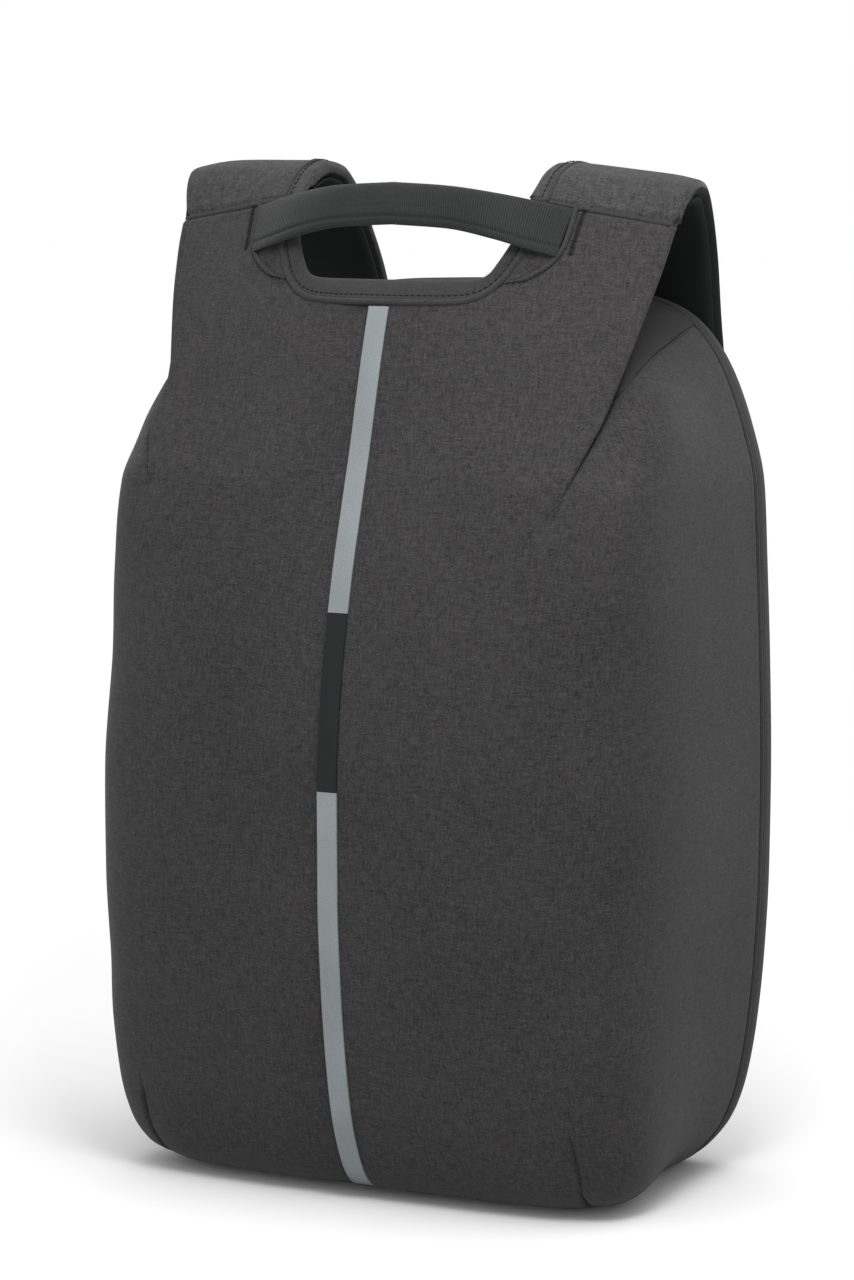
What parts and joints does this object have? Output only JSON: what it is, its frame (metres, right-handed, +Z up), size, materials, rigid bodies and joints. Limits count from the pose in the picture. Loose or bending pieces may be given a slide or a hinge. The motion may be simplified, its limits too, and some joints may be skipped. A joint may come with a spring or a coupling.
{
  "type": "anti theft backpack",
  "caption": "Slim upright laptop backpack whose smooth front skin runs up as two wings into the shoulder straps, with a carry handle across a hand opening and a centre reflective strip.",
  "frame": {"origin": "middle of the whole bag's footprint at the floor it stands on", "axes": "+Z up, the front faces -Y and the wearer's back is on +Y, +X to the right seen from the front"},
  "size_m": [0.3028, 0.2192, 0.4924],
  "materials": {
    "shell_fabric": "charcoal melange polyester weave, matte",
    "gusset_fabric": "dark plain weave, matte",
    "back_mesh": "near-black spacer mesh over foam, matte",
    "webbing": "black ribbed polyester webbing",
    "reflective": "light grey retroreflective tape, smooth",
    "label": "smooth dark band, bare",
    "buckle": "black acetal, matte"
  },
  "bodies": {
    "root": {"body_shell": "shell_fabric", "top_gusset": "gusset_fabric", "opening_piping": "shell_fabric", "opening_band": "shell_fabric", "rim_piping": "shell_fabric", "rim_band": "shell_fabric", "back_panel": "back_mesh", "carry_handle": "webbing", "strip_upper": "reflective", "strip_label": "label", "strip_lower": "reflective", "handle_patch_right": "shell_fabric", "strap_right": "shell_fabric", "strap_lining_right": "back_mesh", "webbing_right": "webbing", "adjuster_right": "buckle", "base_tab_right": "webbing", "handle_patch_left": "shell_fabric", "strap_left": "shell_fabric", "strap_lining_left": "back_mesh", "webbing_left": "webbing", "adjuster_left": "buckle", "base_tab_left": "webbing"}
  },
  "joints": []
}
